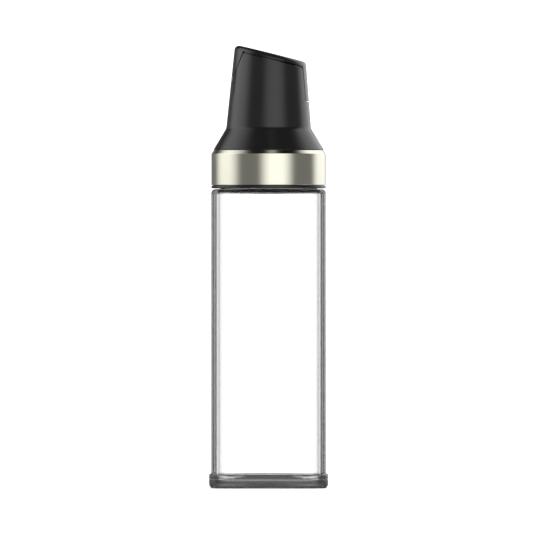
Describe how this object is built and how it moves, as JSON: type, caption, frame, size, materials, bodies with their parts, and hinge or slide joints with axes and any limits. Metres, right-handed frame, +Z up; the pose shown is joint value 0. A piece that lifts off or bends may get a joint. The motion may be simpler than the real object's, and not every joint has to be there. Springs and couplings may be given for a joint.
{
  "type": "oil dispenser bottle",
  "caption": "Square clear glass oil bottle with a steel-ringed screw-on pouring head whose weighted lid opens by itself when the bottle is tipped.",
  "frame": {"origin": "middle of the base, on the surface that the bottle stands on", "axes": "+Z up along the bottle, the spout points to -X, the lid's hinge and tail are at +X, and the picture looks along +Y"},
  "size_m": [0.0676, 0.0676, 0.251],
  "materials": {
    "clear_glass": "clear, polished",
    "silicone": "translucent matt silicone",
    "black_plastic": "satin moulded polypropylene",
    "inner_plastic": "moulded polypropylene",
    "satin_steel": "satin stainless sheet, slightly warm",
    "bright_steel": "ground stainless bar"
  },
  "bodies": {
    "bottle": {"glass_bottle": "clear_glass"},
    "gasket": {"neck_gasket": "silicone"},
    "head": {"screw_cap": "black_plastic", "steel_ring": "satin_steel", "pourer_shell": "black_plastic", "pour_insert": "inner_plastic", "hinge_pin": "bright_steel"},
    "lid": {"flip_lid": "black_plastic", "lid_seal": "silicone", "counterweight": "bright_steel", "weight_cover": "inner_plastic"}
  },
  "joints": [
    {"name": "cap_rise", "type": "slide", "parent": "bottle", "child": "gasket", "axis": [0, 0, 1], "range_m": [0, 0.006]},
    {"name": "cap_turn", "type": "hinge", "parent": "gasket", "child": "head", "pos_m": [0, 0, 0.18], "axis": [0, 0, 1], "range_deg": [0, 540]},
    {"name": "lid_flip", "type": "hinge", "parent": "head", "child": "lid", "pos_m": [0.016, 0, 0.23568], "axis": [0, 1, 0], "range_deg": [0, 60]}
  ],
  "couplings": [
    {"joint": "cap_rise", "follows": "cap_turn", "m_per_rad": 0.0006366}
  ]
}
